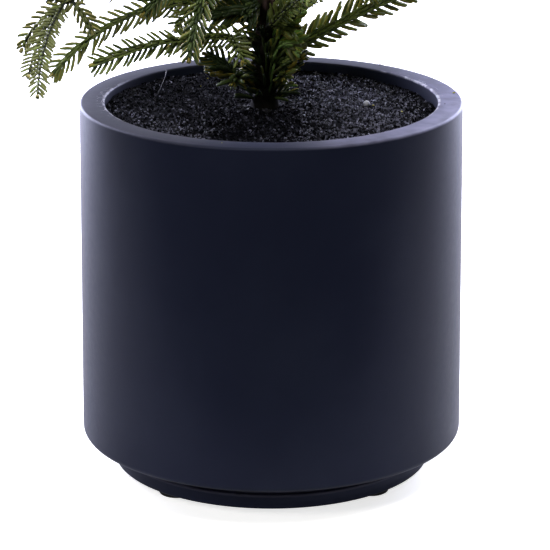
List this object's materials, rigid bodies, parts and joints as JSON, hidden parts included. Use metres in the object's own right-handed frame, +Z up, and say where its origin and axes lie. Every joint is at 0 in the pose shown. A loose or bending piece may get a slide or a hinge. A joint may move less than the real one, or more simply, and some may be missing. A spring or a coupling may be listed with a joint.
{
  "type": "artificial norfolk island pine in a planter",
  "caption": "Artificial Norfolk Island pine: an upright trunk with tiers of drooping needle sprays, standing in dark soil in a plain round charcoal planter on a recessed base.",
  "frame": {"origin": "centre of the planter at floor level, under its feet", "axes": "+Z up along the trunk, -Y towards the front of the pictured view, +X to its right"},
  "size_m": [0.6116, 0.5914, 1.458],
  "materials": {
    "planter_shell": "matte charcoal navy moulded shell, faint mottling, worn inner edge",
    "foot_rubber": "matte black round pads",
    "soil": "black loose granules with a few grey glints",
    "bark": "pinkish brown moulded bark with fine ridges",
    "bough": "dark green wrapped wire",
    "needles": "moulded dark green needles with yellow olive edges and a soft sheen"
  },
  "bodies": {
    "root": {"planter_drum": "planter_shell", "planter_base": "planter_shell", "planter_foot_1": "foot_rubber", "planter_foot_2": "foot_rubber", "planter_foot_3": "foot_rubber", "planter_foot_4": "foot_rubber", "soil": "soil", "trunk": "bark", "whorl1_bough_1": "bough", "whorl1_bough_2": "bough", "whorl1_bough_3": "bough", "whorl1_bough_4": "bough", "whorl1_bough_5": "bough", "whorl1_bough_6": "bough", "whorl2_bough_1": "bough", "whorl2_bough_2": "bough", "whorl2_bough_3": "bough", "whorl2_bough_4": "bough", "whorl2_bough_5": "bough", "whorl2_bough_6": "bough", "whorl1_needles_1": "needles", "whorl1_needles_2": "needles", "whorl1_needles_3": "needles", "whorl1_needles_4": "needles", "whorl1_needles_5": "needles", "whorl1_needles_6": "needles", "whorl2_needles_1": "needles", "whorl2_needles_2": "needles", "whorl2_needles_3": "needles", "whorl2_needles_4": "needles", "whorl2_needles_5": "needles", "whorl2_needles_6": "needles", "whorl3_needles_1": "needles", "whorl3_needles_2": "needles", "whorl3_needles_3": "needles", "whorl3_needles_4": "needles", "whorl3_needles_5": "needles", "whorl4_needles_1": "needles", "whorl4_needles_2": "needles", "whorl4_needles_3": "needles", "whorl4_needles_4": "needles", "whorl4_needles_5": "needles", "whorl5_needles_1": "needles", "whorl5_needles_2": "needles", "whorl5_needles_3": "needles", "whorl5_needles_4": "needles", "whorl6_needles_1": "needles", "whorl6_needles_2": "needles", "whorl6_needles_3": "needles", "whorl6_needles_4": "needles", "whorl7_needles_1": "needles", "whorl7_needles_2": "needles", "whorl7_needles_3": "needles", "whorl8_needles_1": "needles", "whorl8_needles_2": "needles", "whorl8_needles_3": "needles", "leader_needles": "needles", "foot_sprig_1": "needles", "foot_sprig_2": "needles", "foot_sprig_3": "needles"}
  },
  "joints": []
}
